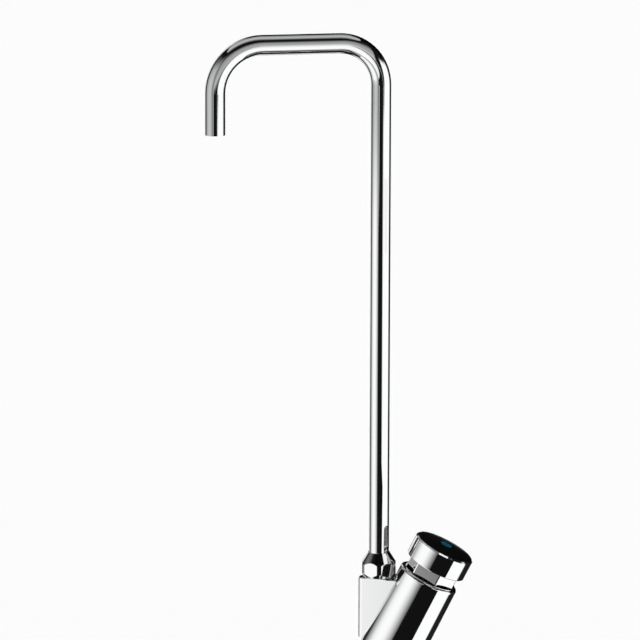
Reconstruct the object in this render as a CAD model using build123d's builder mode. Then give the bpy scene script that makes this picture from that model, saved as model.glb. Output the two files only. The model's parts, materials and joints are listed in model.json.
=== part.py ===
from build123d import *
from math import cos, radians, sin, tan
import os

# Drinking water faucet: a slanted push-button barrel, a web with the outlet, and a swivelling swan neck.
# Millimetres and degrees. The Z axis runs up the threaded shank and the riser of the swan neck,
# z = 0 is the deck that the tap stands on, and the barrel leans towards +X.

# Layout
barrel_tilt = 27
outlet_height = 89
spout_rise = 322
spout_reach = 100
spout_drop = 52.5
spout_turn = 22.5
button_travel = 5

# Clearances: running fits, pieces held still on each other, faces that meet, and free ends
running_gap = 0.05
fit_gap = 0.02
seat_gap = 0.05
loose_gap = 0.3
o_ring_relief = 0.02

# A hexagon's corners stand out by 0.577 of its width across the flats
past_corners = 0.6

# Swan neck tube
tube_diameter = 12
tube_wall = 1
riser_bend_radius = 25
leg_bend_radius = 28
tube_end_round = 0.3

# Barrel, measured along its own axis from where that axis crosses the Z axis, clear of the union nut's flats
barrel_clearance = 0.9
barrel_mouth_diameter = 36.8
barrel_foot_diameter = 38.2
barrel_foot = 13
barrel_mouth = 67.8
foot_round = 2.5
foot_ledge = 3
lip_round = 1.8
foot_cone_start = 3
foot_cone_diameter = 18

# Web between the barrel and the outlet: a wedge, slender at its free end and rooted in the barrel
web_reach = 12.2
web_end_width = 7
web_root_reach = 13
web_root_width = 19.4
web_toe_rise = 22.6
web_toe_drop = 10
web_end_round = 3.3
web_edge_round = 0.9

# Column, base flange and threaded shank
column_diameter = 19
column_overrun = 21
flange_diameter = 46
flange_edge = 3
flange_round = 3
flange_slope = 1
cove_radius = 5
shank_diameter = 16.662
shank_length = 48
shank_chamfer = 1
hose_thread_length = 17
thread_relief = 0.6
thread_relief_height = 2

# Passages in the body
inlet_bore = 9
inlet_overrun = 12
chamber_diameter = 17
chamber_gap = 2.5
seat_thread_diameter = 20
seat_level = 22
seat_depth = 4
cavity_diameter = 26
head_thread_diameter = 28
spigot_gap = 1.8
mouth_recess_diameter = 32.6
mouth_recess_depth = 5.8
outlet_bore = 6.5
outlet_bore_depth = 30
nipple_thread_diameter = 9.728
nipple_thread_depth = 9

# Outlet nipple and union nut
nipple_neck_diameter = 11.6
nipple_neck_height = 0.5
union_thread_diameter = 16
nipple_height = 8.5
nipple_bore = 6.4
tube_insertion = 5
nut_flats = 20
nut_height = 14.8
nut_turned_diameter = 21.7
nut_foot_diameter = 18.7
nut_foot_angle = 59.4
nut_cone_start = 9.3
nut_top_diameter = 13
nut_corner_angle = -80

# Swivel rings of the swan neck
swivel_o_ring_section = 1.2
slip_ring_thickness = 0.7
collar_thickness = 1.8
collar_diameter = 14.8

# Cartridge head
head_gasket_thickness = 1
head_flange_thickness = 2
head_flange_diameter = 31.8
hex_flats = 27
hex_gap = 1
hex_chamfer_angle = 25
hex_turn = 6.5
hex_corner_round = 1.2
head_spigot_length = 4
stem_o_ring_section = 1.8
stem_seal_depth = 2.4
bush_gap = 0.7
bush_height = 5
bush_diameter = 11
boss_recess_diameter = 13

# Cartridge sleeve and valve seat
sleeve_wall = 0.9
sleeve_bore = 23
sleeve_floor_thickness = 1.6
sleeve_floor_bore = 8.8
sleeve_window_diameter = 5
sleeve_window_rise = 5
sleeve_window_cut = 3.6
sleeve_window_count = 4
seat_flange_thickness = 1
seat_hole_diameter = 10.4
seat_bead_height = 1
seat_bead_width = 1
seat_o_ring_section = 1.4
seat_groove_width = 1.6
seat_groove_offset = 1.2

# Stem, piston, spring and valve washer
stem_diameter = 6
stem_thread_diameter = 4
stem_past_nut = 0.7
piston_gap = 0.15
piston_flange_thickness = 1.8
piston_hub_diameter = 11
piston_hub_height = 4
lip_seal_height = 1.8
lip_seal_width = 2.8
lip_thickness = 0.7
spring_length = 11.9
spring_wire = 1.2
spring_coil_diameter = 15
spring_turns = 4
washer_diameter = 14
washer_thickness = 2.3
holder_wall = 0.6
holder_floor = 1.2
holder_depth = 1.6
washer_nut_flats = 7
washer_nut_height = 3.2

# Push button with its disc
button_diameter = 37.4
button_wall = 1.8
button_skirt_gap = 2.6
button_clearance = 1
button_height = 12.7
button_bevel = 0.8
button_skirt_round = 0.5
button_roof = 2.6
disc_recess_depth = 0.6
disc_rim = 1
disc_edge = 0.8
disc_dome = 1.6
dot_diameter = 7
dot_pocket_depth = 0.6
dot_rise = 0.25
dot_round = 0.2
button_boss_diameter = 10
button_boss_length = 3.3
stem_socket_depth = 2.3
screw_diameter = 4
screw_head_diameter = 7
screw_head_height = 1.3
screw_pocket_depth = 1.5
screw_length = 8
screw_socket_flats = 2.5
screw_socket_depth = 0.8

# Strainer in the foot of the shank
strainer_seat_diameter = 12.4
strainer_seat_depth = 5
strainer_ring_thickness = 1.4
strainer_wall = 0.5
strainer_length = 9
strainer_tip_diameter = 4
strainer_slot_width = 0.8
strainer_slot_count = 6
strainer_slot_share = 0.6
strainer_washer_thickness = 2.8

# Deck fixing
gasket_thickness = 2
gasket_inset = 1
deck_thickness = 20
clamp_washer_thickness = 2
clamp_washer_diameter = 34
washer_gap = 0.3
backnut_flats = 24
backnut_height = 6.5

# Radii and levels that follow from the sizes above
tube_radius = tube_diameter / 2
barrel_mouth_radius = barrel_mouth_diameter / 2
barrel_foot_radius = barrel_foot_diameter / 2
stem_radius = stem_diameter / 2
sleeve_radius = sleeve_bore / 2
nut_level = outlet_height + nipple_neck_height + seat_gap
nut_turned_radius = nut_turned_diameter / 2
nut_side_level = nut_level + (nut_turned_radius - nut_foot_diameter / 2) * tan(radians(nut_foot_angle))
barrel_side = nut_flats / 2 + barrel_clearance + barrel_mouth_radius / cos(radians(barrel_tilt))
crossing_height = nut_side_level - barrel_side / tan(radians(barrel_tilt))
web_toe_height = crossing_height + web_toe_rise
column_top = crossing_height + column_overrun
inlet_bore_top = crossing_height + inlet_overrun
outlet_bore_floor = outlet_height - outlet_bore_depth
cavity_floor = seat_level + seat_depth
seat_top = cavity_floor + seat_flange_thickness
spring_level = seat_top + sleeve_floor_thickness
piston_level = spring_level + spring_length
head_spigot_foot = piston_level + piston_hub_height + spigot_gap
head_foot = head_spigot_foot + head_spigot_length
head_thread_floor = head_foot - loose_gap
mouth_recess_floor = barrel_mouth - mouth_recess_depth
head_flange_level = mouth_recess_floor + head_gasket_thickness
hex_level = head_flange_level + head_flange_thickness
washer_top = seat_level - seat_bead_height - 2 * seat_gap
washer_level = washer_top - washer_thickness
holder_level = washer_level - holder_floor
stem_end = holder_level - washer_nut_height - stem_past_nut
chamber_floor = stem_end - button_travel - chamber_gap
button_skirt = barrel_mouth + button_travel + button_skirt_gap
button_top = button_skirt + button_height
button_inner_top = button_top - disc_recess_depth - button_roof
button_boss_foot = button_inner_top - button_boss_length
stem_top = button_boss_foot + stem_socket_depth
hex_top = button_inner_top - button_travel - hex_gap
bush_top = button_boss_foot - button_travel - bush_gap
bush_level = bush_top - bush_height
disc_level = button_top - disc_recess_depth
disc_radius = button_diameter / 2 - disc_rim - fit_gap
nipple_top = outlet_height + nipple_height
slip_level = nipple_top + seat_gap
collar_level = slip_level + slip_ring_thickness + seat_gap
friction_level = collar_level + collar_thickness + seat_gap
nut_shoulder = friction_level + slip_ring_thickness + seat_gap
tube_foot = nipple_top - tube_insertion
run_height = outlet_height + spout_rise

# Working planes: sections through the two turning axes, heights along the local Y direction
barrel_direction = Vector(sin(radians(barrel_tilt)), 0, cos(radians(barrel_tilt)))
barrel_across = Vector(cos(radians(barrel_tilt)), 0, -sin(radians(barrel_tilt)))
crossing = Vector(0, 0, crossing_height)
barrel_axis = Axis(crossing, barrel_direction)
barrel_section = Plane(crossing, x_dir=barrel_across, z_dir=(0, -1, 0))
barrel_base = Plane(crossing, x_dir=barrel_across, z_dir=barrel_direction)
spout_direction = Vector(-cos(radians(spout_turn)), -sin(radians(spout_turn)), 0)
spout_section = Plane((0, 0, 0), x_dir=spout_direction, z_dir=spout_direction.cross(Vector(0, 0, 1)))


def band(inner, outer, low, high, mode=Mode.ADD):
    """Rectangle in the open sketch, from one radius to another and from one height to another."""
    with Locations(((inner + outer) / 2, (low + high) / 2)):
        Rectangle(outer - inner, high - low, mode=mode)


def barrel_axis_offset(height):
    """Distance from the Z axis to the barrel axis at a height above the deck."""
    return (height - crossing_height) * tan(radians(barrel_tilt))


def corner(sketch, radius, height):
    """The corner of an open sketch that lies nearest to a radius and a height."""
    return sketch.vertices().sort_by_distance((radius, height))[0]


# Cast body: column, barrel and web in one piece, with its passages
with BuildPart() as body:
    # Threaded shank, bell-shaped base flange and column
    with BuildSketch(Plane.XZ) as column_profile:
        shank_radius = shank_diameter / 2
        column_radius = column_diameter / 2
        relief_radius = shank_radius - thread_relief
        relief_level = gasket_thickness - thread_relief_height
        hose_thread_top = hose_thread_length - shank_length
        flange_side = gasket_thickness + flange_edge
        flange_inner = flange_diameter / 2 - flange_round
        cove_foot = flange_side + flange_round + flange_slope
        with BuildLine():
            Polyline(
                (column_radius, cove_foot + cove_radius),
                (column_radius, column_top),
                (0, column_top),
                (0, -shank_length),
                (shank_radius - shank_chamfer, -shank_length),
                (shank_radius, shank_chamfer - shank_length),
                (shank_radius, hose_thread_top),
                (relief_radius, hose_thread_top),
                (relief_radius, hose_thread_top + thread_relief_height),
                (shank_radius, hose_thread_top + thread_relief_height),
                (shank_radius, relief_level),
                (relief_radius, relief_level + thread_relief),
                (relief_radius, gasket_thickness),
                (flange_diameter / 2, gasket_thickness),
                (flange_diameter / 2, flange_side),
            )
            CenterArc((flange_inner, flange_side), flange_round, 0, 90)
            Line((flange_inner, flange_side + flange_round), (column_radius + cove_radius, cove_foot))
            CenterArc((column_radius + cove_radius, cove_foot + cove_radius), cove_radius, 180, 90)
        make_face()
    revolve(axis=Axis.Z)

    # Barrel with casting draft, a rounded foot that runs down into the column, and a soft lip
    with BuildSketch(barrel_section) as barrel_profile:
        Polygon(
            (0, foot_cone_start),
            (foot_cone_diameter / 2, foot_cone_start),
            (barrel_foot_radius - foot_ledge, barrel_foot),
            (barrel_foot_radius, barrel_foot),
            (barrel_mouth_radius, barrel_mouth),
            (0, barrel_mouth),
        )
        fillet(corner(barrel_profile, barrel_foot_radius, barrel_foot), foot_round)
        fillet(corner(barrel_profile, barrel_mouth_radius, barrel_mouth), lip_round)
    revolve(axis=barrel_axis)

    # Web that carries the outlet: a wedge with upright sides, from its free end into the barrel
    with BuildSketch(Plane.YZ.offset(-web_reach)):
        with Locations((0, (web_toe_height + outlet_height) / 2)):
            Rectangle(web_end_width, outlet_height - web_toe_height)
    with BuildSketch(Plane.YZ.offset(web_root_reach)):
        web_root_height = web_toe_height - web_toe_drop
        with Locations((0, (web_root_height + outlet_height) / 2)):
            Rectangle(web_root_width, outlet_height - web_root_height)
    loft(ruled=True)
    web_end = body.edges().filter_by_position(Axis.X, -web_reach, -web_reach)
    fillet(web_end.filter_by(Axis.Z), web_end_round)
    web_top = body.edges().filter_by_position(Axis.Z, outlet_height, outlet_height)
    fillet(web_top, web_edge_round)

    # Stepped bore of the barrel: valve chamber, valve seat, piston cavity, head thread and mouth recess,
    # and room for the button over the mouth
    with BuildSketch(barrel_section):
        band(0, chamber_diameter / 2, chamber_floor, seat_level)
        band(0, seat_thread_diameter / 2, seat_level, cavity_floor)
        band(0, cavity_diameter / 2, cavity_floor, head_thread_floor)
        band(0, head_thread_diameter / 2, head_thread_floor, mouth_recess_floor)
        band(0, mouth_recess_diameter / 2, mouth_recess_floor, barrel_mouth)
        band(0, button_diameter / 2 + button_clearance, barrel_mouth, button_top)
    revolve(axis=barrel_axis, mode=Mode.SUBTRACT)

    # Inlet bore with the strainer seat, and the outlet passage under the nipple
    with BuildSketch(Plane.XZ):
        band(0, inlet_bore / 2, -shank_length, inlet_bore_top)
        band(0, strainer_seat_diameter / 2, -shank_length, strainer_seat_depth - shank_length)
        band(0, outlet_bore / 2, outlet_bore_floor, outlet_height)
        band(0, nipple_thread_diameter / 2, outlet_height - nipple_thread_depth, outlet_height)
    revolve(axis=Axis.Z, mode=Mode.SUBTRACT)
body.part.label = "body"

# Outlet nipple: screwed into the web, it takes the union nut outside and the foot of the tube inside
with BuildPart() as outlet_nipple:
    with BuildSketch(Plane.XZ):
        thread_foot = outlet_height - nipple_thread_depth + loose_gap
        neck_top = outlet_height + nipple_neck_height
        seal_pocket = tube_radius + running_gap + swivel_o_ring_section
        band(nipple_bore / 2, nipple_thread_diameter / 2 - running_gap, thread_foot, outlet_height)
        band(nipple_bore / 2, nipple_neck_diameter / 2, outlet_height, neck_top)
        band(nipple_bore / 2, union_thread_diameter / 2 - running_gap, neck_top, nipple_top)
        band(0, tube_radius + running_gap, tube_foot - loose_gap, nipple_top, mode=Mode.SUBTRACT)
        band(0, seal_pocket, nipple_top - swivel_o_ring_section, nipple_top, mode=Mode.SUBTRACT)
    revolve(axis=Axis.Z)
outlet_nipple.part.label = "outlet_nipple"

# Seal of the swan neck in the nipple
with BuildPart() as spout_o_ring:
    with BuildSketch(Plane.XZ):
        ring_radius = tube_radius + running_gap + swivel_o_ring_section / 2
        with Locations((ring_radius, nipple_top - swivel_o_ring_section / 2)):
            Circle(swivel_o_ring_section / 2 - o_ring_relief)
    revolve(axis=Axis.Z)
spout_o_ring.part.label = "spout_o_ring"

# Hexagonal union nut with its conical top
with BuildPart() as spout_nut:
    with BuildSketch(Plane.XY.offset(nut_level)):
        RegularPolygon(nut_flats / 2, 6, major_radius=False, rotation=nut_corner_angle)
    extrude(amount=nut_height)
    with BuildSketch(Plane.XZ):
        nut_foot_radius = nut_foot_diameter / 2
        nut_top_radius = nut_top_diameter / 2
        nut_crown = nut_level + nut_height
        cone_slope = (nut_height - nut_cone_start) / (nut_flats / 2 - nut_top_radius)
        Polygon(
            (0, nut_level),
            (nut_foot_radius, nut_level),
            (nut_turned_radius, nut_side_level),
            (nut_turned_radius, nut_crown - cone_slope * (nut_turned_radius - nut_top_radius)),
            (nut_top_radius, nut_crown),
            (0, nut_crown),
        )
    revolve(axis=Axis.Z, mode=Mode.INTERSECT)
    with BuildSketch(Plane.XZ):
        band(0, union_thread_diameter / 2, nut_level, nipple_top + seat_gap)
        band(0, collar_diameter / 2 + running_gap, nut_level, nut_shoulder)
        band(0, tube_radius + running_gap, nut_level, nut_crown)
    revolve(axis=Axis.Z, mode=Mode.SUBTRACT)
spout_nut.part.label = "spout_nut"

# Swan neck: one bent tube with a plain cut end
with BuildPart() as spout_tube:
    with BuildLine(spout_section):
        riser_bend_level = run_height - riser_bend_radius
        leg_bend_level = run_height - leg_bend_radius
        leg_bend_start = spout_reach - leg_bend_radius
        Line((0, tube_foot), (0, riser_bend_level))
        CenterArc((riser_bend_radius, riser_bend_level), riser_bend_radius, 180, -90)
        Line((riser_bend_radius, run_height), (leg_bend_start, run_height))
        CenterArc((leg_bend_start, leg_bend_level), leg_bend_radius, 90, -90)
        Line((spout_reach, leg_bend_level), (spout_reach, run_height - spout_drop))
    with BuildSketch(Plane.XY.offset(tube_foot)):
        Circle(tube_radius)
        Circle(tube_radius - tube_wall, mode=Mode.SUBTRACT)
    sweep()
    tube_end = spout_tube.faces().sort_by_distance(spout_direction * spout_reach)[0]
    fillet(tube_end.edges(), tube_end_round)
spout_tube.part.label = "spout_tube"

# Collar brazed on the tube: the union nut holds the swan neck by it
with BuildPart() as spout_collar:
    with BuildSketch(Plane.XZ):
        band(tube_radius, collar_diameter / 2, collar_level, collar_level + collar_thickness)
    revolve(axis=Axis.Z)
spout_collar.part.label = "spout_collar"

# Slippery rings under and over the collar
with BuildPart() as slip_washer:
    with BuildSketch(Plane.XZ):
        band(tube_radius + running_gap, collar_diameter / 2, slip_level, slip_level + slip_ring_thickness)
    revolve(axis=Axis.Z)
slip_washer.part.label = "slip_washer"

with BuildPart() as friction_ring:
    with BuildSketch(Plane.XZ):
        friction_top = friction_level + slip_ring_thickness
        band(tube_radius + running_gap, collar_diameter / 2, friction_level, friction_top)
    revolve(axis=Axis.Z)
friction_ring.part.label = "friction_ring"

# Cartridge head: wrench flats outside the barrel, thread and spigot inside, stem guide along its axis
with BuildPart() as cartridge_head:
    with BuildSketch(barrel_base.offset(hex_level)) as wrench_hexagon:
        RegularPolygon(hex_flats / 2, 6, major_radius=False, rotation=-hex_turn)
        fillet(wrench_hexagon.vertices(), hex_corner_round)
    extrude(amount=hex_top - hex_level)
    with BuildSketch(barrel_section):
        hex_outside = hex_flats * past_corners
        hex_shoulder = hex_flats / 2
        hex_crown_drop = (hex_outside - hex_shoulder) * tan(radians(hex_chamfer_angle))
        Polygon(
            (0, hex_level),
            (hex_outside, hex_level),
            (hex_outside, hex_top - hex_crown_drop),
            (hex_shoulder, hex_top),
            (0, hex_top),
        )
    revolve(axis=barrel_axis, mode=Mode.INTERSECT)
    with BuildSketch(barrel_section):
        stem_seal_radius = stem_radius + running_gap + stem_o_ring_section
        band(0, head_flange_diameter / 2, head_flange_level, hex_level)
        band(0, head_thread_diameter / 2 - running_gap, head_foot, head_flange_level)
        band(0, sleeve_radius - running_gap, head_spigot_foot, head_foot)
    revolve(axis=barrel_axis)
    with BuildSketch(barrel_section):
        band(0, stem_radius + running_gap, head_spigot_foot, hex_top)
        band(0, stem_seal_radius, bush_level - stem_seal_depth, bush_level)
        band(0, bush_diameter / 2, bush_level, bush_top)
        band(0, boss_recess_diameter / 2, bush_top, hex_top)
    revolve(axis=barrel_axis, mode=Mode.SUBTRACT)
cartridge_head.part.label = "cartridge_head"

# Flat seal under the flange of the head
with BuildPart() as head_gasket:
    with BuildSketch(barrel_section):
        gasket_inner = head_thread_diameter / 2 + seat_gap
        band(gasket_inner, head_flange_diameter / 2, mouth_recess_floor, head_flange_level)
    revolve(axis=barrel_axis)
head_gasket.part.label = "head_gasket"

# Guide bush and seal of the stem in the head
with BuildPart() as stem_bush:
    with BuildSketch(barrel_section):
        band(stem_radius + running_gap, bush_diameter / 2, bush_level, bush_top)
    revolve(axis=barrel_axis)
stem_bush.part.label = "stem_bush"

with BuildPart() as stem_o_ring:
    with BuildSketch(barrel_section):
        stem_ring_radius = stem_radius + running_gap + stem_o_ring_section / 2
        with Locations((stem_ring_radius, bush_level - stem_seal_depth / 2)):
            Circle(stem_o_ring_section / 2 - o_ring_relief)
    revolve(axis=barrel_axis)
stem_o_ring.part.label = "stem_o_ring"

# Sleeve in which the piston runs, with the spring seat at its foot and windows towards the outlet
with BuildPart() as cartridge_sleeve:
    with BuildSketch(barrel_section):
        sleeve_outer = sleeve_radius + sleeve_wall
        band(sleeve_radius, sleeve_outer, seat_top, head_foot)
        band(sleeve_floor_bore / 2, sleeve_outer, seat_top, spring_level)
    revolve(axis=barrel_axis)
    with Locations(barrel_base.offset(seat_top + sleeve_window_rise)):
        with PolarLocations(sleeve_radius, sleeve_window_count):
            Cylinder(
                sleeve_window_diameter / 2,
                sleeve_window_cut,
                rotation=(0, 90, 0),
                mode=Mode.SUBTRACT,
            )
cartridge_sleeve.part.label = "cartridge_sleeve"

# Valve seat: a screwed-in ring whose bead faces the inlet
with BuildPart() as valve_seat:
    with BuildSketch(barrel_section):
        seat_hole = seat_hole_diameter / 2
        seat_thread = seat_thread_diameter / 2 - running_gap
        seat_groove = seat_level + seat_groove_offset
        band(seat_hole, seat_thread, seat_level + seat_gap, cavity_floor)
        band(seat_hole, sleeve_outer, cavity_floor, seat_top)
        band(seat_hole, seat_hole + seat_bead_width, seat_level - seat_bead_height, seat_level + seat_gap)
        band(
            seat_thread - seat_o_ring_section,
            seat_thread,
            seat_groove,
            seat_groove + seat_groove_width,
            mode=Mode.SUBTRACT,
        )
    revolve(axis=barrel_axis)
valve_seat.part.label = "valve_seat"

with BuildPart() as seat_o_ring:
    with BuildSketch(barrel_section):
        with Locations((seat_thread - seat_o_ring_section / 2, seat_groove + seat_groove_width / 2)):
            Circle(seat_o_ring_section / 2 - o_ring_relief)
    revolve(axis=barrel_axis)
seat_o_ring.part.label = "seat_o_ring"

# Push rod from the valve washer up to the button
with BuildPart() as stem:
    with BuildSketch(barrel_section):
        screw_foot = stem_top - screw_length
        band(0, stem_thread_diameter / 2, stem_end, washer_top)
        band(0, stem_radius, washer_top, stem_top)
        band(0, screw_diameter / 2, screw_foot - loose_gap, stem_top, mode=Mode.SUBTRACT)
    revolve(axis=barrel_axis)
stem.part.label = "stem"

# Damping piston and its lip seal
with BuildPart() as piston:
    with BuildSketch(barrel_section):
        piston_inner = stem_radius + fit_gap
        piston_flange_top = piston_level + piston_flange_thickness
        band(piston_inner, sleeve_radius - piston_gap, piston_level, piston_flange_top)
        band(piston_inner, piston_hub_diameter / 2, piston_level, piston_level + piston_hub_height)
    revolve(axis=barrel_axis)
piston.part.label = "piston"

with BuildPart() as piston_lip_seal:
    with BuildSketch(barrel_section):
        lip_outer = sleeve_radius - running_gap
        lip_inner = lip_outer - lip_seal_width
        lip_top = piston_flange_top + lip_seal_height
        band(lip_inner, lip_outer, piston_flange_top, lip_top)
        band(
            lip_inner + lip_thickness,
            lip_outer - lip_thickness,
            piston_flange_top + lip_thickness,
            lip_top,
            mode=Mode.SUBTRACT,
        )
    revolve(axis=barrel_axis)
piston_lip_seal.part.label = "piston_lip_seal"

# Coiled return spring between the sleeve floor and the piston
with BuildPart() as return_spring:
    spring_foot = barrel_base.offset(spring_level + spring_wire / 2 + seat_gap)
    spring_height = piston_level - spring_level - spring_wire - 2 * seat_gap
    with BuildLine():
        coil = Helix(
            spring_height / spring_turns,
            spring_height,
            spring_coil_diameter / 2,
            center=spring_foot.origin,
            direction=spring_foot.z_dir,
        )
    with BuildSketch(Plane(coil @ 0, z_dir=coil % 0)):
        Circle(spring_wire / 2)
    sweep(is_frenet=True)
return_spring.part.label = "return_spring"

# Rubber washer in its brass holder, clamped on the stem by a small nut
with BuildPart() as valve_washer:
    with BuildSketch(barrel_section):
        washer_inner = stem_thread_diameter / 2 + fit_gap
        band(washer_inner, washer_diameter / 2, washer_level, washer_top)
    revolve(axis=barrel_axis)
valve_washer.part.label = "valve_washer"

with BuildPart() as washer_holder:
    with BuildSketch(barrel_section):
        holder_inner = washer_diameter / 2 + fit_gap
        band(washer_inner, holder_inner + holder_wall, holder_level, washer_level)
        band(holder_inner, holder_inner + holder_wall, washer_level, washer_level + holder_depth)
    revolve(axis=barrel_axis)
washer_holder.part.label = "washer_holder"

with BuildPart() as washer_nut:
    with BuildSketch(barrel_base.offset(holder_level)):
        RegularPolygon(washer_nut_flats / 2, 6, major_radius=False)
        Circle(washer_inner, mode=Mode.SUBTRACT)
    extrude(amount=-washer_nut_height)
washer_nut.part.label = "washer_nut"

# Push button: a turned cap with a boss for the stem
with BuildPart() as push_button:
    with BuildSketch(barrel_section) as button_profile:
        button_radius = button_diameter / 2
        band(0, button_radius, button_skirt, button_top)
        fillet(corner(button_profile, button_radius, button_skirt), button_skirt_round)
        chamfer(corner(button_profile, button_radius, button_top), button_bevel)
        band(0, button_radius - button_wall, button_skirt, button_inner_top, mode=Mode.SUBTRACT)
        band(0, button_radius - disc_rim, disc_level, button_top, mode=Mode.SUBTRACT)
        band(0, button_boss_diameter / 2, button_boss_foot, button_inner_top)
        band(0, stem_radius + fit_gap, button_boss_foot, stem_top, mode=Mode.SUBTRACT)
        band(0, screw_diameter / 2, stem_top, disc_level, mode=Mode.SUBTRACT)
        screw_seat = disc_level - screw_pocket_depth
        band(0, screw_head_diameter / 2 + fit_gap, screw_seat, disc_level, mode=Mode.SUBTRACT)
    revolve(axis=barrel_axis)
push_button.part.label = "push_button"

with BuildPart() as button_screw:
    with BuildSketch(barrel_section):
        screw_top = screw_seat + screw_head_height
        band(0, screw_head_diameter / 2, screw_seat, screw_top)
        band(0, screw_diameter / 2 - fit_gap, screw_foot, screw_seat)
    revolve(axis=barrel_axis)
    with BuildSketch(barrel_base.offset(screw_top)):
        RegularPolygon(screw_socket_flats / 2, 6, major_radius=False)
    extrude(amount=-screw_socket_depth, mode=Mode.SUBTRACT)
button_screw.part.label = "button_screw"

# Domed disc pressed into the top of the button, with a plain dot let into its middle
with BuildPart() as button_disc:
    with BuildSketch(barrel_section):
        disc_side = disc_level + disc_edge
        disc_crown = disc_side + disc_dome
        dot_floor = disc_crown - dot_pocket_depth
        dome_sphere = (disc_radius**2 + disc_dome**2) / (2 * disc_dome)
        with BuildLine():
            Polyline((0, disc_crown), (0, disc_level), (disc_radius, disc_level), (disc_radius, disc_side))
            RadiusArc((disc_radius, disc_side), (0, disc_crown), -dome_sphere)
        make_face()
        band(0, dot_diameter / 2 + fit_gap, dot_floor, disc_crown, mode=Mode.SUBTRACT)
    revolve(axis=barrel_axis)
button_disc.part.label = "button_disc"

with BuildPart() as marker_dot:
    with BuildSketch(barrel_section) as dot_profile:
        dot_top = disc_crown + dot_rise
        band(0, dot_diameter / 2, dot_floor, dot_top)
        fillet(corner(dot_profile, dot_diameter / 2, dot_top), dot_round)
    revolve(axis=barrel_axis)
marker_dot.part.label = "marker_dot"

# Strainer basket in the foot of the shank, held by its washer
with BuildPart() as inlet_filter:
    with BuildSketch(Plane.XZ):
        basket_foot = strainer_seat_depth - shank_length
        basket_top = basket_foot + strainer_length
        ring_foot = basket_foot - strainer_ring_thickness
        strainer_outer = strainer_seat_diameter / 2 - seat_gap
        basket_radius = inlet_bore / 2 - loose_gap
        basket_inner = basket_radius - strainer_wall
        tip_radius = strainer_tip_diameter / 2
        band(basket_inner, strainer_outer, ring_foot, basket_foot)
        Polygon(
            (basket_inner, basket_foot),
            (basket_radius, basket_foot),
            (tip_radius, basket_top),
            (0, basket_top),
            (0, basket_top - strainer_wall),
            (tip_radius - strainer_wall, basket_top - strainer_wall),
        )
    revolve(axis=Axis.Z)
    slot_height = strainer_length * strainer_slot_share
    with Locations((0, 0, basket_foot + strainer_length / 2)):
        with PolarLocations(0, strainer_slot_count // 2, angular_range=180):
            Box(inlet_bore, strainer_slot_width, slot_height, mode=Mode.SUBTRACT)
inlet_filter.part.label = "inlet_filter"

with BuildPart() as filter_washer:
    with BuildSketch(Plane.XZ):
        band(basket_inner, strainer_outer, ring_foot - strainer_washer_thickness, ring_foot)
    revolve(axis=Axis.Z)
filter_washer.part.label = "filter_washer"

# Deck fixing: gasket under the flange, clamp washer and hexagonal backnut on the shank
with BuildPart() as deck_gasket:
    with BuildSketch(Plane.XZ):
        band(shank_radius + seat_gap, flange_diameter / 2 - gasket_inset, 0, gasket_thickness)
    revolve(axis=Axis.Z)
deck_gasket.part.label = "deck_gasket"

with BuildPart() as clamp_washer:
    with BuildSketch(Plane.XZ):
        clamp_foot = -deck_thickness - clamp_washer_thickness
        band(shank_radius + washer_gap, clamp_washer_diameter / 2, clamp_foot, -deck_thickness)
    revolve(axis=Axis.Z)
clamp_washer.part.label = "clamp_washer"

with BuildPart() as backnut:
    with BuildSketch(Plane.XY.offset(clamp_foot)):
        RegularPolygon(backnut_flats / 2, 6, major_radius=False)
    extrude(amount=-backnut_height)
    with BuildSketch(Plane.XZ):
        backnut_foot = clamp_foot - backnut_height
        backnut_outside = backnut_flats * past_corners
        backnut_drop = (backnut_outside - backnut_flats / 2) * tan(radians(hex_chamfer_angle))
        Polygon(
            (0, clamp_foot),
            (backnut_outside, clamp_foot),
            (backnut_outside, backnut_foot + backnut_drop),
            (backnut_flats / 2, backnut_foot),
            (0, backnut_foot),
        )
    revolve(axis=Axis.Z, mode=Mode.INTERSECT)
    with BuildSketch(Plane.XZ):
        band(0, shank_radius + fit_gap, backnut_foot, clamp_foot)
    revolve(axis=Axis.Z, mode=Mode.SUBTRACT)
backnut.part.label = "backnut"

pieces = (
    body,
    outlet_nipple,
    spout_o_ring,
    spout_nut,
    spout_tube,
    spout_collar,
    slip_washer,
    friction_ring,
    cartridge_head,
    head_gasket,
    stem_bush,
    stem_o_ring,
    cartridge_sleeve,
    valve_seat,
    seat_o_ring,
    stem,
    piston,
    piston_lip_seal,
    return_spring,
    valve_washer,
    washer_holder,
    washer_nut,
    push_button,
    button_screw,
    button_disc,
    marker_dot,
    inlet_filter,
    filter_washer,
    deck_gasket,
    clamp_washer,
    backnut,
)
os.makedirs("parts", exist_ok=True)
for piece in pieces:
    export_step(piece.part, f"parts/{piece.part.label}.step")
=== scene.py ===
import json
import math

import bmesh
import bpy
from mathutils import Matrix, Vector


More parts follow.
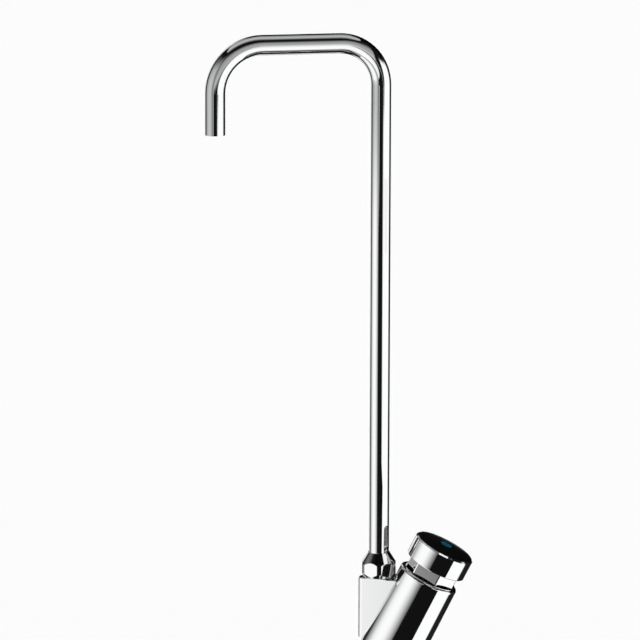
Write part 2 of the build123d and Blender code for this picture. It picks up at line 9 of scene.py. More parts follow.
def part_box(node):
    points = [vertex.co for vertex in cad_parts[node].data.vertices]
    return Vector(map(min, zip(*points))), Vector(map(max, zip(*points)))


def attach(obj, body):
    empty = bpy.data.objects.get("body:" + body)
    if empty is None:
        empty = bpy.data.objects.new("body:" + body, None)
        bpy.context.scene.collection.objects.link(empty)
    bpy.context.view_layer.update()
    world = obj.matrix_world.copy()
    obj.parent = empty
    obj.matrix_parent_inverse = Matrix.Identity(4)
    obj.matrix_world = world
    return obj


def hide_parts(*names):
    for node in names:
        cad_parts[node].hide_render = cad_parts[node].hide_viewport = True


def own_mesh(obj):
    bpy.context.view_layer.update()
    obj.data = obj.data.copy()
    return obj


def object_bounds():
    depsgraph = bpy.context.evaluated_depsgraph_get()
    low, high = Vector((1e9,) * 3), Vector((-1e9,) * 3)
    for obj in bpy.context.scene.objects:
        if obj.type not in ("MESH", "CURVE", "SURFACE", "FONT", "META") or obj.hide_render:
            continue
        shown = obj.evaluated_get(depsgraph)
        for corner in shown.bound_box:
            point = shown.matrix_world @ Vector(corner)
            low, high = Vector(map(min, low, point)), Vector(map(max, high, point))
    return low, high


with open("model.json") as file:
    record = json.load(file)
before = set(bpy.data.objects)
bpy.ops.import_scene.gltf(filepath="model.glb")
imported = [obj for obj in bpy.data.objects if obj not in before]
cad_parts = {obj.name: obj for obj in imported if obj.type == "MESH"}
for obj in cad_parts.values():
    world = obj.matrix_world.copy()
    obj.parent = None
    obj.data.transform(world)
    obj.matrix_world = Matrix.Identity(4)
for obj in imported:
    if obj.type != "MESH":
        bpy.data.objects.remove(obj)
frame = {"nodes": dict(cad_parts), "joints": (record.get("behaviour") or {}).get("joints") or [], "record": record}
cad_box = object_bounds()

nodes = frame["nodes"]

# Camera: a long lens far off and a little above the tap, turned ten degrees to its right-hand side,
# so that the shank and the deck fixing stay under the picture's lower edge.
view_heading = math.radians(10.0)
view_climb = math.radians(9.628)
view_roll = math.radians(0.17)
view_distance = 3.401099
view_target = Vector((-0.036257, 0, 0.243776))
back = Vector((
    math.sin(view_heading) * math.cos(view_climb),
    -math.cos(view_heading) * math.cos(view_climb),
    math.sin(view_climb),
))
right = Vector((math.cos(view_heading), math.sin(view_heading), 0))
up = back.cross(right)
rolled_right = right * math.cos(view_roll) + up * math.sin(view_roll)
rolled_up = up * math.cos(view_roll) - right * math.sin(view_roll)
camera_data = bpy.data.cameras.new("camera")
camera_data.lens = 321.25
camera_data.sensor_width = 36
camera_data.clip_end = 50
camera = bpy.data.objects.new("camera", camera_data)
camera.matrix_world = Matrix.Translation(view_target + back * view_distance) @ Matrix(
    (rolled_right, rolled_up, back)
).transposed().to_4x4()
bpy.context.scene.collection.objects.link(camera)
bpy.context.scene.camera = camera
bpy.context.scene.view_settings.view_transform = "Standard"

# Studio: a white room for the eye and for plain colours. Polished metal sees a dark ceiling with a grey lamp
# over the tap instead, and a white table that darkens under it; the cards of the next sections stand round it.
paper_glow = 1.08


def link(tree, source, target):
    tree.links.new(source, target)


def math_node(tree, operation, first, second=None, third=None):
    node = tree.nodes.new("ShaderNodeMath")
    node.operation = operation
    for socket, value in zip(node.inputs, (first, second, third)):
        if value is None:
            continue
        if isinstance(value, (int, float)):
            socket.default_value = value
        else:
            link(tree, value, socket)
    return node.outputs[0]


def grey_level(shade):
    """A shade as a picture shows it, 0 to 255, as the light that gives it."""
    part = shade / 255
    return part / 12.92 if part <= 0.04045 else ((part + 0.055) / 1.055) ** 2.4


def shade_ramp(tree, value, low, high, stops):
    """Greys along a value that runs from low to high."""
    spread = tree.nodes.new("ShaderNodeMapRange")
    link(tree, value, spread.inputs["Value"])
    spread.inputs["From Min"].default_value = low
    spread.inputs["From Max"].default_value = high
    ramp = tree.nodes.new("ShaderNodeValToRGB")
    link(tree, spread.outputs["Result"], ramp.inputs["Fac"])
    elements = ramp.color_ramp.elements
    while len(elements) > 1:
        elements.remove(elements[-1])
    for number, (place, shade) in enumerate(stops):
        at = (place - low) / (high - low)
        if number:
            element = elements.new(at)
        else:
            element = elements[0]
            element.position = at
        level = grey_level(shade)
        element.color = (level, level, level, 1)
    return ramp.outputs["Color"]


def smooth_step(tree, value, low, high, falling=False):
    step = tree.nodes.new("ShaderNodeMapRange")
    step.interpolation_type = "SMOOTHSTEP"
    link(tree, value, step.inputs["Value"])
    step.inputs["From Min"].default_value = low
    step.inputs["From Max"].default_value = high
    if falling:
        step.inputs["To Min"].default_value = 1
        step.inputs["To Max"].default_value = 0
    return step.outputs["Result"]


def mix_colours(tree, factor, first, second, blend="MIX"):
    mix = tree.nodes.new("ShaderNodeMix")
    mix.data_type = "RGBA"
    mix.blend_type = blend
    colour_a, colour_b = (socket for socket in mix.inputs if socket.type == "RGBA")
    for socket, value in ((mix.inputs["Factor"], factor), (colour_a, first), (colour_b, second)):
        if isinstance(value, (int, float, tuple)):
            socket.default_value = value
        else:
            link(tree, value, socket)
    return next(socket for socket in mix.outputs if socket.type == "RGBA")


def turned_axes(tree, coordinate):
    """Right, towards the camera's side, and up, as they are for the picture that the studio was set for."""
    place = tree.nodes.new("ShaderNodeTexCoord")
    turn = tree.nodes.new("ShaderNodeMapping")
    turn.inputs["Rotation"].default_value = (0, 0, -view_heading)
    link(tree, place.outputs[coordinate], turn.inputs["Vector"])
    axes = tree.nodes.new("ShaderNodeSeparateXYZ")
    link(tree, turn.outputs["Vector"], axes.inputs["Vector"])
    return axes.outputs["X"], math_node(tree, "MULTIPLY", axes.outputs["Y"], -1), axes.outputs["Z"]


world = bpy.data.worlds.new("studio")
bpy.context.scene.world = world
world.use_nodes = True
air = world.node_tree
air.nodes.clear()
_, ahead, skyward = turned_axes(air, "Generated")
height = math_node(air, "DEGREES", math_node(air, "ARCSINE", skyward))
table = shade_ramp(air, ahead, -1, 1, (
    (-1, 120), (-0.7, 66), (-0.59, 40), (-0.45, 12), (-0.23, 18), (-0.1, 45), (0.04, 90), (0.17, 140),
    (0.31, 184), (0.5, 224), (0.62, 246), (1, 254),
))
ceiling = shade_ramp(air, ahead, -1, 1, (
    (-1, 178), (-0.85, 170), (-0.68, 135), (-0.56, 125), (-0.45, 133), (-0.32, 158), (-0.2, 181),
    (-0.06, 185), (0.08, 160), (0.28, 105), (0.38, 40), (0.48, 12), (0.6, 12), (1, 12),
))
shiny_room = mix_colours(air, smooth_step(air, height, -5, 5), table, ceiling)
rays = air.nodes.new("ShaderNodeLightPath")
shiny = air.nodes.new("ShaderNodeBackground")
link(air, shiny_room, shiny.inputs["Color"])
plain = air.nodes.new("ShaderNodeBackground")
soft = air.nodes.new("ShaderNodeBackground")
for background, strength in ((shiny, paper_glow), (plain, 1), (soft, 0.7)):
    background.inputs["Strength"].default_value = strength
for background in (plain, soft):
    background.inputs["Color"].default_value = (1, 1, 1, 1)
for_metal = air.nodes.new("ShaderNodeMixShader")
link(air, rays.outputs["Is Glossy Ray"], for_metal.inputs[0])
link(air, soft.outputs[0], for_metal.inputs[1])
link(air, shiny.outputs[0], for_metal.inputs[2])
for_eye = air.nodes.new("ShaderNodeMixShader")
link(air, rays.outputs["Is Camera Ray"], for_eye.inputs[0])
link(air, for_metal.outputs[0], for_eye.inputs[1])
link(air, plain.outputs[0], for_eye.inputs[2])
room = air.nodes.new("ShaderNodeOutputWorld")
link(air, for_eye.outputs[0], room.inputs["Surface"])

# Tent: a round wall of paper far about the tap, which only polished metal shows. It is lit from the left, the
# front and the right, and behind only by two narrow lamps. A black flag stands in front, and a black strip
# leaves it to the right.
tent_radius, tent_depth = 12.0, 32
tap_middle = 0.2
tent_rim = 53  # degrees over the horizon, as the middle of the tap sees it


def glowing_paper(name):
    """A material that shines by itself, its node tree, its shining node and its end."""
    material = bpy.data.materials.new(name)
    material.use_nodes = True
    tree = material.node_tree
    tree.nodes.clear()
    shine = tree.nodes.new("ShaderNodeEmission")
    end = tree.nodes.new("ShaderNodeOutputMaterial")
    link(tree, shine.outputs[0], end.inputs["Surface"])
    return material, tree, shine, end


def bearing(tree):
    """Degrees round the upright axis, from the camera's side to the right, and the level over the deck."""
    rightwards, forwards, level = turned_axes(tree, "Object")
    return math_node(tree, "DEGREES", math_node(tree, "ARCTAN2", rightwards, forwards)), level


def stand_card(name, shape, material):
    """A card of the studio, which polished metal shows and nothing else sees."""
    mesh = bpy.data.meshes.new(name)
    shape.to_mesh(mesh)
    shape.free()
    mesh.materials.append(material)
    card = bpy.data.objects.new(name, mesh)
    bpy.context.scene.collection.objects.link(card)
    card.visible_camera = False
    card.visible_diffuse = False
    card.visible_shadow = False
    card.visible_transmission = False
    card.visible_volume_scatter = False


tent_paper, cloth, tent_shine, _ = glowing_paper("tent_paper")
around, level = bearing(cloth)
rise = math_node(cloth, "DIVIDE", math_node(cloth, "SUBTRACT", level, tap_middle), tent_radius)
climb = math_node(cloth, "DEGREES", math_node(cloth, "ARCTANGENT", rise))


def shade_by_climb(stops):
    return shade_ramp(cloth, climb, -tent_rim, tent_rim, stops)


side_wall = shade_ramp(cloth, around, -180, 180, (
    (-180, 40), (-168, 40), (-163, 225), (-147, 235), (-142, 45), (-131, 45), (-122, 100), (-110, 160),
    (-99, 205), (-88, 238), (-72, 250), (-58, 250), (-50, 240), (-43, 220), (-35, 190), (-29, 150), (-24, 125),
    (20, 215), (25, 238), (30, 250), (38, 253), (105, 254), (109, 225), (112, 70),
    (117, 30), (162, 30), (167, 230), (176, 230), (180, 40),
))
left_fall = shade_by_climb(((10, 196), (25, 180), (35, 120), (45, 20)))
right_fall = shade_by_climb(((12, 255), (15, 225), (18, 90), (21, 20)))
back_left_fall = shade_by_climb(((20, 255), (45, 130)))
back_right_fall = shade_by_climb(((-5, 255), (2, 30)))
on_right = smooth_step(cloth, around, -5, 5)
side_fall = mix_colours(cloth, on_right, left_fall, right_fall)
back_fall = mix_colours(cloth, on_right, back_left_fall, back_right_fall)
behind = smooth_step(cloth, math_node(cloth, "ABSOLUTE", around), 134, 140)
wall_fall = mix_colours(cloth, behind, side_fall, back_fall)
side_wall = mix_colours(cloth, 1, side_wall, wall_fall, "MULTIPLY")
front_wall = shade_by_climb((
    (-50, 252), (-28, 250), (-20, 237), (-12.6, 222), (-4, 200), (2.4, 175), (10, 158), (18, 155), (26, 145),
    (33.6, 95), (41, 40), (47, 12),
))

# The strip starts low beside the flag and leans to the right as it climbs. It parts the front from the right.
strip_foot = -6.9
strip_rise = math_node(cloth, "MAXIMUM", math_node(cloth, "SUBTRACT", climb, strip_foot), 0)
strip_middle = math_node(cloth, "MULTIPLY_ADD", strip_rise, 1.2, 31)
off_strip = math_node(cloth, "SUBTRACT", around, strip_middle)
to_right = smooth_step(cloth, off_strip, -1, 1)
to_left = smooth_step(cloth, around, -27, -19, falling=True)
lit_wall = mix_colours(cloth, math_node(cloth, "MAXIMUM", to_right, to_left), front_wall, side_wall)
flag_shade = grey_level(18)
flag_colour = (flag_shade, flag_shade, flag_shade, 1)
strip_near = smooth_step(cloth, math_node(cloth, "ABSOLUTE", off_strip), 5, 7, falling=True)
strip = math_node(cloth, "MULTIPLY", strip_near, smooth_step(cloth, climb, strip_foot, strip_foot + 0.4))
lit_wall = mix_colours(cloth, strip, lit_wall, flag_colour)

# The flag is a low one: only upright metal shows it, as one long stripe. Its foot is a little narrower.
lean = smooth_step(cloth, level, -1.6, -1.4)
flag_left = math_node(cloth, "MULTIPLY_ADD", lean, 7, -25)
past_left = smooth_step(cloth, math_node(cloth, "SUBTRACT", around, flag_left), -2, 1)
past_right = smooth_step(cloth, around, 23.2, 24.2, falling=True)
above_table = smooth_step(cloth, level, -2.9, -2.8)
below_top = smooth_step(cloth, level, -1.05, 0.6, falling=True)
across = math_node(cloth, "MULTIPLY", past_left, past_right)
flag = math_node(cloth, "MULTIPLY", across, math_node(cloth, "MULTIPLY", above_table, below_top))
lit_wall = mix_colours(cloth, flag, lit_wall, flag_colour)
link(cloth, lit_wall, tent_shine.inputs["Color"])
tent_shine.inputs["Strength"].default_value = paper_glow
wall = bmesh.new()
bmesh.ops.create_cone(
    wall, cap_ends=False, segments=360, radius1=tent_radius, radius2=tent_radius, depth=tent_depth
)
stand_card("tent", wall, tent_paper)

# Left card: a curved white card at arm's length on the left, as high as the middle of the riser, which lights
# the left side of the barrel, the web and the lower riser. Its edges fade out.
left_radius, left_depth, left_middle = 0.45, 1.2, -0.2
left_paper, left_tree, left_shine, left_end = glowing_paper("card_paper")
left_around, left_level = bearing(left_tree)
left_shade = shade_ramp(left_tree, left_around, -180, 180, (
    (-122, 105), (-110, 160), (-99, 205), (-88, 238), (-72, 250), (-58, 250), (-50, 242), (-43, 222), (-35, 190),
    (-29, 150), (-24, 125),
))
link(left_tree, left_shade, left_shine.inputs["Color"])
left_shine.inputs["Strength"].default_value = paper_glow
left_begin = smooth_step(left_tree, left_around, -124, -116)
left_finish = smooth_step(left_tree, left_around, -28, -22, falling=True)
left_top = smooth_step(left_tree, left_level, 0.22, 0.32, falling=True)
left_width = math_node(left_tree, "MULTIPLY", left_begin, left_finish)
left_cover = math_node(left_tree, "MULTIPLY", left_top, left_width)
left_clear = left_tree.nodes.new("ShaderNodeBsdfTransparent")
left_mix = left_tree.nodes.new("ShaderNodeMixShader")
link(left_tree, left_cover, left_mix.inputs[0])
link(left_tree, left_clear.outputs[0], left_mix.inputs[1])
link(left_tree, left_shine.outputs[0], left_mix.inputs[2])
link(left_tree, left_mix.outputs[0], left_end.inputs["Surface"])
arc = bmesh.new()
bmesh.ops.create_cone(
    arc, cap_ends=False, segments=180, radius1=left_radius, radius2=left_radius, depth=left_depth
)
bmesh.ops.translate(arc, verts=arc.verts, vec=(0, 0, left_middle))
stand_card("left_card", arc, left_paper)

# High card: a small white card held over the button on the right, which draws the white wedge on the cone of
# the union nut and the fine light line along the rim of the cap.
high_bearing, high_climb = math.radians(66), math.radians(48)
high_distance = 0.25
high_half_width, high_half_height = 0.068, 0.042
nut_low, nut_high = (Vector(corner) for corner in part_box("spout_nut"))
toward_card = Matrix.Rotation(view_heading, 3, "Z") @ Vector((
    math.sin(high_bearing) * math.cos(high_climb),
    -math.cos(high_bearing) * math.cos(high_climb),
    math.sin(high_climb),
))
high_place = Matrix.Translation((nut_low + nut_high) / 2 + high_distance * toward_card)
high_turn = toward_card.to_track_quat("Z", "Y").to_matrix().to_4x4()
high_size = Matrix.Diagonal((high_half_width, high_half_height, 1, 1))
small_card = bmesh.new()
bmesh.ops.create_grid(
    small_card, x_segments=1, y_segments=1, size=1, matrix=high_place @ high_turn @ high_size
)
high_paper, _, high_shine, _ = glowing_paper("card_white")
high_shine.inputs["Color"].default_value = (0.96, 0.96, 0.96, 1)
stand_card("high_card", small_card, high_paper)

# Near flag: a black card a hand's breadth in front of the barrel and parallel to it, which draws the broad
# black stripe along the barrel and the button.
press = next(joint for joint in frame["joints"] if joint["name"] == "button_press")
barrel_way = -Vector(press["axis"]).normalized()
towards_eye = (back - barrel_way * back.dot(barrel_way)).normalized()
across_barrel = barrel_way.cross(towards_eye)
barrel_foot = Vector((0, 0, 0.03))
flag_distance = 0.1
flag_sheets = ((-0.0125, 0.118, -0.32, 0.08), (-0.05, 0.045, 0.08, 0.125))
felt = bmesh.new()
for left_side, right_side, low_end, high_end in flag_sheets:
    sheet = bmesh.ops.create_grid(felt, x_segments=1, y_segments=1, size=0.5)["verts"]
    bmesh.ops.scale(felt, verts=sheet, vec=(right_side - left_side, high_end - low_end, 1))
    bmesh.ops.translate(
        felt, verts=sheet, vec=((left_side + right_side) / 2, (low_end + high_end) / 2, flag_distance)
    )
barrel_frame = Matrix((across_barrel, barrel_way, towards_eye)).transposed().to_4x4()
bmesh.ops.transform(felt, verts=felt.verts, matrix=Matrix.Translation(barrel_foot) @ barrel_frame)
felt_black, _, felt_shine, _ = glowing_paper("flag_black")
felt_shine.inputs["Color"].default_value = flag_colour
stand_card("near_flag", felt, felt_black)

# Soft lamp: a broad lamp on the left, over the camera's shoulder. It gives plain colours their form and throws
# the soft shadow on the floor; polished metal doesn't show it.
lamp_data = bpy.data.lights.new("soft_lamp", "SUN")
lamp_data.angle = math.radians(25)
lamp_data.energy = 1.15
lamp = bpy.data.objects.new("soft_lamp", lamp_data)
lamp_place = Vector((-1.0, -1.3, 2.2))
lamp_way = lamp_place - Vector((0, 0, 0.1))
lamp_turn = lamp_way.to_track_quat("Z", "Y").to_matrix().to_4x4()
lamp.matrix_world = Matrix.Translation(lamp_place) @ lamp_turn
lamp.visible_glossy = False
lamp.visible_camera = False
bpy.context.scene.collection.objects.link(lamp)

# Floor: a sheet of pale matt paper under the end of the shank, wide enough to fill every view,
# which keeps the soft shadow of the tap.
floor_gap = 0.0006
floor_mesh = bpy.data.meshes.new("floor")
ground = bmesh.new()
bmesh.ops.create_circle(ground, cap_ends=True, segments=96, radius=8)
bmesh.ops.translate(ground, verts=ground.verts, vec=(0, 0, cad_box[0][2] - floor_gap))
ground.to_mesh(floor_mesh)
ground.free()
floor = bpy.data.objects.new("floor", floor_mesh)
bpy.context.scene.collection.objects.link(floor)
floor.visible_glossy = False
paper = bpy.data.materials.new("floor_paper")
paper.use_nodes = True
paper_tree = paper.node_tree
paper_shader = paper_tree.nodes["Principled BSDF"]
paper_shader.inputs["Roughness"].default_value = 0.9
paper_shader.inputs["Specular IOR Level"].default_value = 0
fibres = paper_tree.nodes.new("ShaderNodeTexNoise")
fibres.inputs["Scale"].default_value = 900
fibres.inputs["Detail"].default_value = 4
paper_place = paper_tree.nodes.new("ShaderNodeTexCoord")
link(paper_tree, paper_place.outputs["Object"], fibres.inputs["Vector"])
paper_white = shade_ramp(paper_tree, fibres.outputs["Fac"], 0.2, 0.8, ((0.2, 252), (0.8, 255)))
link(paper_tree, paper_white, paper_shader.inputs["Base Color"])
floor.data.materials.append(paper)

# Cast body: column, barrel and web are one brass casting, ground, polished and chrome plated. The plating
# follows the faint waves that the polishing wheel leaves. It keeps the shape and the shading of the CAD node,
# and ends just over the deck, inside the gasket, where the threaded shank begins.


def new_group(name, inputs, outputs):
    group = bpy.data.node_groups.new(name, "ShaderNodeTree")
    for title, kind, value in inputs:
        socket = group.interface.new_socket(title, in_out="INPUT", socket_type=kind)
        if value is not None:
            socket.default_value = value
    for title, kind in outputs:
        group.interface.new_socket(title, in_out="OUTPUT", socket_type=kind)
    entry = group.nodes.new("NodeGroupInput")
    result = group.nodes.new("NodeGroupOutput")
    return group, entry, result


def noise(tree, vector, scale, detail=2.0, roughness=0.5):
    node = tree.nodes.new("ShaderNodeTexNoise")
    link(tree, vector, node.inputs["Vector"])
    for name, value in (("Scale", scale), ("Detail", detail), ("Roughness", roughness)):
        if isinstance(value, (int, float)):
            node.inputs[name].default_value = value
        else:
            link(tree, value, node.inputs[name])
    return node.outputs["Fac"]


def spread_range(tree, value, low, high):
    node = tree.nodes.new("ShaderNodeMapRange")
    link(tree, value, node.inputs["Value"])
    node.inputs["From Min"].default_value = 0.3
    node.inputs["From Max"].default_value = 0.7
    for name, end in (("To Min", low), ("To Max", high)):
        if isinstance(end, (int, float)):
            node.inputs[name].default_value = end
        else:
            link(tree, end, node.inputs[name])
    return node.outputs["Result"]


polish, polish_in, polish_out = new_group(
    "wheel_polish",
    (
        ("Place", "NodeSocketVector", None),
        ("Wave Size", "NodeSocketFloat", 45.0),
        ("Smooth", "NodeSocketFloat", 0.02),
        ("Worn", "NodeSocketFloat", 0.06),
    ),
    (("Roughness", "NodeSocketFloat"), ("Height", "NodeSocketFloat")),
)
waves = noise(polish, polish_in.outputs["Place"], polish_in.outputs["Wave Size"], 1.0, 0.4)
hairlines = noise(polish, polish_in.outputs["Place"], 2600, 3.0, 0.6)
smudges = noise(polish, polish_in.outputs["Place"], 38, 4.0, 0.6)
fine_height = math_node(polish, "MULTIPLY", hairlines, 0.015)
link(polish, math_node(polish, "ADD", waves, fine_height), polish_out.inputs["Height"])
link(
    polish,
    spread_range(polish, smudges, polish_in.outputs["Smooth"], polish_in.outputs["Worn"]),
    polish_out.inputs["Roughness"],
)


def new_material(name):
    material = bpy.data.materials.new(name)
    material.use_nodes = True
    tree = material.node_tree
    place = tree.nodes.new("ShaderNodeTexCoord")
    return material, tree, tree.nodes["Principled BSDF"], place.outputs["Object"]


def use_group(tree, group, place, **values):
    node = tree.nodes.new("ShaderNodeGroup")
    node.node_tree = group
    link(tree, place, node.inputs["Place"])
    for title, value in values.items():
        node.inputs[title.replace("_", " ")].default_value = value
    return node


def bump(tree, height, depth):
    node = tree.nodes.new("ShaderNodeBump")
    node.inputs["Distance"].default_value = depth
    link(tree, height, node.inputs["Height"])
    return node.outputs["Normal"]


def chrome_material(name, wave_size, wave_depth):
    material, tree, shader, place = new_material(name)
    shader.inputs["Metallic"].default_value = 1
    shader.inputs["Base Color"].default_value = (0.93, 0.935, 0.94, 1)
    finish = use_group(tree, polish, place, Wave_Size=wave_size)
    link(tree, finish.outputs["Roughness"], shader.inputs["Roughness"])
    link(tree, bump(tree, finish.outputs["Height"], wave_depth), shader.inputs["Normal"])
    return material


def dress(node, material):
    for slot in nodes[node].material_slots:
        slot.material = material


def new_piece(name, shape, material, body):
    mesh = bpy.data.meshes.new(name)
    shape.to_mesh(mesh)
    shape.free()
    piece = bpy.data.objects.new(name, mesh)
    bpy.context.scene.collection.objects.link(piece)
    mesh.materials.clear()
    mesh.materials.append(material)
    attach(piece, body)
    return piece


body_chrome = chrome_material("cast_chrome", 45, 0.00003)
cut_height = 0.001
cast_merge = 1e-7
cast_faces = nodes["body"].data.copy()
cast_normals = [0.0] * (3 * len(cast_faces.loops))
cast_faces.corner_normals.foreach_get("vector", cast_normals)
cast_faces.attributes.new("shading", "FLOAT_VECTOR", "CORNER").data.foreach_set("vector", cast_normals)
casting = bmesh.new()
casting.from_mesh(cast_faces)
bmesh.ops.remove_doubles(casting, verts=casting.verts, dist=cast_merge)
cut = bmesh.ops.bisect_plane(
    casting,
    geom=casting.verts[:] + casting.edges[:] + casting.faces[:],
    plane_co=(0, 0, cut_height),
    plane_no=(0, 0, 1),
    clear_inner=True,
)
rim = [item for item in cut["geom_cut"] if isinstance(item, bmesh.types.BMEdge)]
bmesh.ops.triangle_fill(casting, use_beauty=True, edges=rim, normal=(0, 0, -1))
for face in casting.faces:
    face.smooth = True
    face.material_index = 0
body_casting = new_piece("body_casting", casting, body_chrome, "tap")
shading = body_casting.data.attributes["shading"]
body_casting.data.normals_split_custom_set([corner.vector[:] for corner in shading.data])
body_casting.data.attributes.remove(body_casting.data.attributes["shading"])
bpy.data.meshes.remove(cast_faces)
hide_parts("body")

# Threaded shank: the foot of the casting, turned and screw-cut G 3/8 for the backnut and for the supply hose,
# with a relief groove between the two threads and a seat for the strainer in its mouth.
thread_pitch = 0.001337
thread_crest, thread_root = 0.008331, 0.007475
steps_per_turn = 48
thread_merge = 2e-7
shank_foot, thread_chamfer = -0.048, 0.001
groove_radius, groove_edge = 0.007731, 0.00005
groove_low, groove_high = -0.031, -0.029
neck_start = 0.0006
bore_radius, seat_radius, seat_floor = 0.0045, 0.0062, -0.043
thread_shape = (
    (0, 0), (0.1, 0.08), (0.19, 0.3), (0.31, 0.7), (0.4, 0.92), (0.5, 1), (0.6, 0.92), (0.69, 0.7), (0.81, 0.3),
    (0.9, 0.08), (1, 0),
)
shank = bmesh.new()
thread_start = shank_foot - 1.5 * thread_pitch
turns = math.ceil((cut_height - thread_start) / thread_pitch) + 1
ridge = [
    shank.verts.new((thread_root + (thread_crest - thread_root) * out, 0, thread_start + thread_pitch * along))
    for along, out in thread_shape
]
ridge_edges = [shank.edges.new(pair) for pair in zip(ridge, ridge[1:])]
bmesh.ops.spin(
    shank, geom=ridge + ridge_edges, cent=(0, 0, 0), axis=(0, 0, 1), angle=2 * math.pi, steps=steps_per_turn,
    dvec=(0, 0, thread_pitch / steps_per_turn),
)
first_turn = shank.verts[:] + shank.edges[:] + shank.faces[:]
for turn in range(1, turns):
    next_turn = bmesh.ops.duplicate(shank, geom=first_turn)["geom"]
    turn_verts = [item for item in next_turn if isinstance(item, bmesh.types.BMVert)]
    bmesh.ops.translate(shank, verts=turn_verts, vec=(0, 0, turn * thread_pitch))
bmesh.ops.remove_doubles(shank, verts=shank.verts, dist=thread_merge)


def cut_shank(height, upwards=1, clear_inner=False):
    bmesh.ops.bisect_plane(
        shank, geom=shank.verts[:] + shank.edges[:] + shank.faces[:], plane_co=(0, 0, height),
        plane_no=(0, 0, upwards), clear_inner=clear_inner,
    )


for edge_height in (
    shank_foot + thread_chamfer, groove_low, groove_low + groove_edge, groove_high - groove_edge, groove_high,
    0, neck_start,
):
    cut_shank(edge_height)
cut_shank(shank_foot, clear_inner=True)
cut_shank(cut_height, upwards=-1, clear_inner=True)
for vert in shank.verts:
    reach = math.hypot(vert.co.x, vert.co.y)
    above_foot = vert.co.z - shank_foot
    in_groove = groove_low + groove_edge - 1e-6 < vert.co.z < groove_high - groove_edge + 1e-6
    if in_groove or vert.co.z > neck_start - 1e-5:
        wanted = groove_radius
    elif above_foot < thread_chamfer:
        wanted = min(reach, thread_crest - thread_chamfer + above_foot)
    elif vert.co.z > 0:
        wanted = min(reach, max(thread_crest - vert.co.z, groove_radius))
    else:
        wanted = min(reach, thread_crest)
    vert.co.xy *= wanted / reach
bore = [shank.verts.new(corner) for corner in (
    (bore_radius, 0, cut_height), (bore_radius, 0, seat_floor), (seat_radius, 0, seat_floor),
    (seat_radius, 0, shank_foot),
)]
bore_edges = [shank.edges.new(pair) for pair in zip(bore, bore[1:])]
bmesh.ops.spin(
    shank, geom=bore + bore_edges, cent=(0, 0, 0), axis=(0, 0, 1), angle=2 * math.pi, steps=96, use_merge=True
)
for end in (shank_foot, cut_height):
    ring = [
        edge for edge in shank.edges
        if edge.is_boundary and all(abs(vert.co.z - end) < 1e-7 for vert in edge.verts)
    ]
    bmesh.ops.triangle_fill(shank, use_beauty=True, edges=ring)
bmesh.ops.remove_doubles(shank, verts=shank.verts, dist=thread_merge)
bmesh.ops.recalc_face_normals(shank, faces=shank.faces)
for face in shank.faces:
    face.smooth = True
shank_chrome = chrome_material("shank_chrome", 90, 0.00001)
threaded_shank = new_piece("threaded_shank", shank, shank_chrome, "tap")
threaded_shank.data.set_sharp_from_angle(angle=math.radians(38))
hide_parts("body")

# Swan neck: a 12 mm brass tube, drawn, bent cold round two formers, cut square at the outlet and chrome plated.
# The collar that its union nut holds is brazed on.
tube_chrome = chrome_material("tube_chrome", 30, 0.00002)
for node in ("spout_tube", "spout_collar"):
    dress(node, tube_chrome)

# Union nut and cartridge head: hexagon brass bar, turned and milled, its corners taken off, and chrome plated.
# The nut is screwed on the outlet nipple, and the head into the mouth of the barrel.
nut_chrome = chrome_material("nut_chrome", 80, 0.00001)
for node in ("spout_nut", "cartridge_head"):
    dress(node, nut_chrome)

# Push button: a cap turned from brass bar, polished and chrome plated. A screw under its disc holds it on the
# stem.
button_chrome = chrome_material("button_chrome", 40, 0.00001)
dress("push_button", button_chrome)

# Disc of the button: glossy black plastic, moulded slightly domed and pressed into the cap, with a plain blue
# dot let into its middle.


def plastic_material(name, colour, roughness):
    material, tree, shader, place = new_material(name)
    shader.inputs["Base Color"].default_value = colour
    finish = use_group(tree, polish, place, Smooth=roughness, Worn=roughness + 0.08)
    link(tree, finish.outputs["Roughness"], shader.inputs["Roughness"])
    link(tree, bump(tree, finish.outputs["Height"], 0.00001), shader.inputs["Normal"])
    return material


disc_black = plastic_material("disc_black", (0.004, 0.004, 0.0045, 1), 0.1)
disc_black.node_tree.nodes["Principled BSDF"].inputs["Specular IOR Level"].default_value = 0.1
dress("button_disc", disc_black)
dot_blue = plastic_material("dot_blue", (0.004, 0.085, 0.13, 1), 0.15)
dot_blue.node_tree.nodes["Principled BSDF"].inputs["Specular IOR Level"].default_value = 0.3
dress("marker_dot", dot_blue)

# Inner pieces and deck fixing: nipple, seat, sleeve, piston, washer holder, little nut and backnut are brass,
# bright from the lathe; stem, screw, strainer and clamp washer are stainless steel. Seals and gaskets are
# black rubber, and the slip washer, the friction ring and the stem's bush are white plastic.


def metal_material(name, colour, smooth, worn):
    material, tree, shader, place = new_material(name)
    shader.inputs["Metallic"].default_value = 1
    finish = use_group(tree, polish, place, Smooth=smooth, Worn=worn)
    link(tree, finish.outputs["Roughness"], shader.inputs["Roughness"])
    link(tree, bump(tree, finish.outputs["Height"], 0.00001), shader.inputs["Normal"])
    tone = shade_ramp(tree, noise(tree, place, 60, 4.0, 0.6), 0.3, 0.7, ((0.3, 225), (0.7, 250)))
    link(tree, mix_colours(tree, 1, colour, tone, "MULTIPLY"), shader.inputs["Base Color"])
    return material


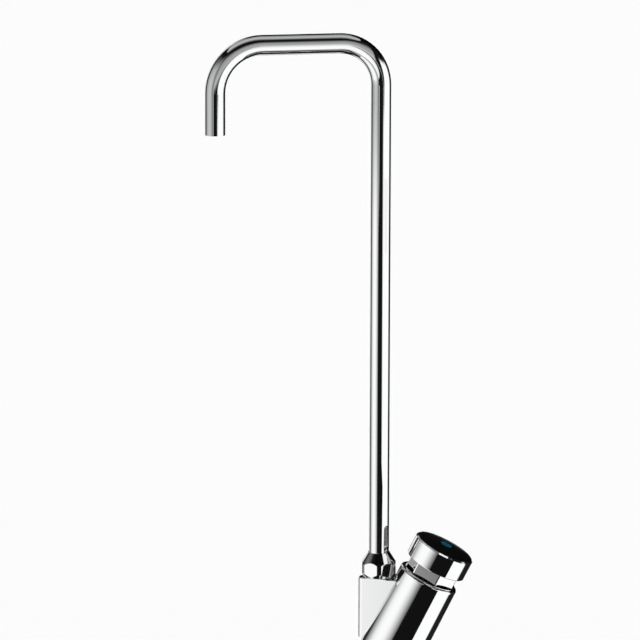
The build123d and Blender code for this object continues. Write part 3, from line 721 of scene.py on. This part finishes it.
brass = metal_material("bare_brass", (0.86, 0.66, 0.33, 1), 0.16, 0.3)
plated_brass = metal_material("plated_brass", (0.82, 0.8, 0.74, 1), 0.08, 0.16)
steel = metal_material("bare_steel", (0.68, 0.68, 0.67, 1), 0.22, 0.38)
rubber_black = plastic_material("rubber_black", (0.02, 0.02, 0.02, 1), 0.6)
plain_white = plastic_material("plain_white", (0.8, 0.8, 0.78, 1), 0.35)
finishes = {"brass": brass, "steel": steel, "rubber": rubber_black, "white_plastic": plain_white}
for part in frame["record"]["subparts"]:
    if part["material_slot"] in finishes and part["node"] != "spout_collar":
        dress(part["node"], finishes[part["material_slot"]])
dress("outlet_nipple", plated_brass)

# Return spring: four coils of round stainless wire on the floor of the sleeve, under the piston. In the tap it
# lifts the button again and is pressed together as the button goes down; the piece built here keeps one length.
wire_thickness = 0.0012
coil_radius = 0.0075
coils = 4
steps_per_coil = 40
spring_reach = [barrel_way.dot(vert.co - barrel_foot) for vert in nodes["return_spring"].data.vertices]
spring_foot = barrel_foot + min(spring_reach) * barrel_way
spring_height = max(spring_reach) - min(spring_reach)
spring = bmesh.new()
wire = bmesh.ops.create_circle(
    spring, segments=14, radius=wire_thickness / 2,
    matrix=Matrix.Translation((coil_radius, 0, wire_thickness / 2)) @ Matrix.Rotation(math.pi / 2, 4, "X"),
)["verts"]
spring_steps = steps_per_coil * coils
bmesh.ops.spin(
    spring, geom=wire + spring.edges[:], cent=(0, 0, 0), axis=(0, 0, 1), angle=2 * math.pi * coils,
    steps=spring_steps, dvec=(0, 0, (spring_height - wire_thickness) / spring_steps),
)
bmesh.ops.holes_fill(spring, edges=spring.edges[:], sides=0)
bmesh.ops.recalc_face_normals(spring, faces=spring.faces)
spring_turn = barrel_way.to_track_quat("Z", "Y").to_matrix().to_4x4()
bmesh.ops.transform(spring, verts=spring.verts, matrix=Matrix.Translation(spring_foot) @ spring_turn)
for face in spring.faces:
    face.smooth = len(face.verts) == 4
wound_spring = new_piece("wound_spring", spring, steel, "tap")
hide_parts("return_spring")
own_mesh(wound_spring)
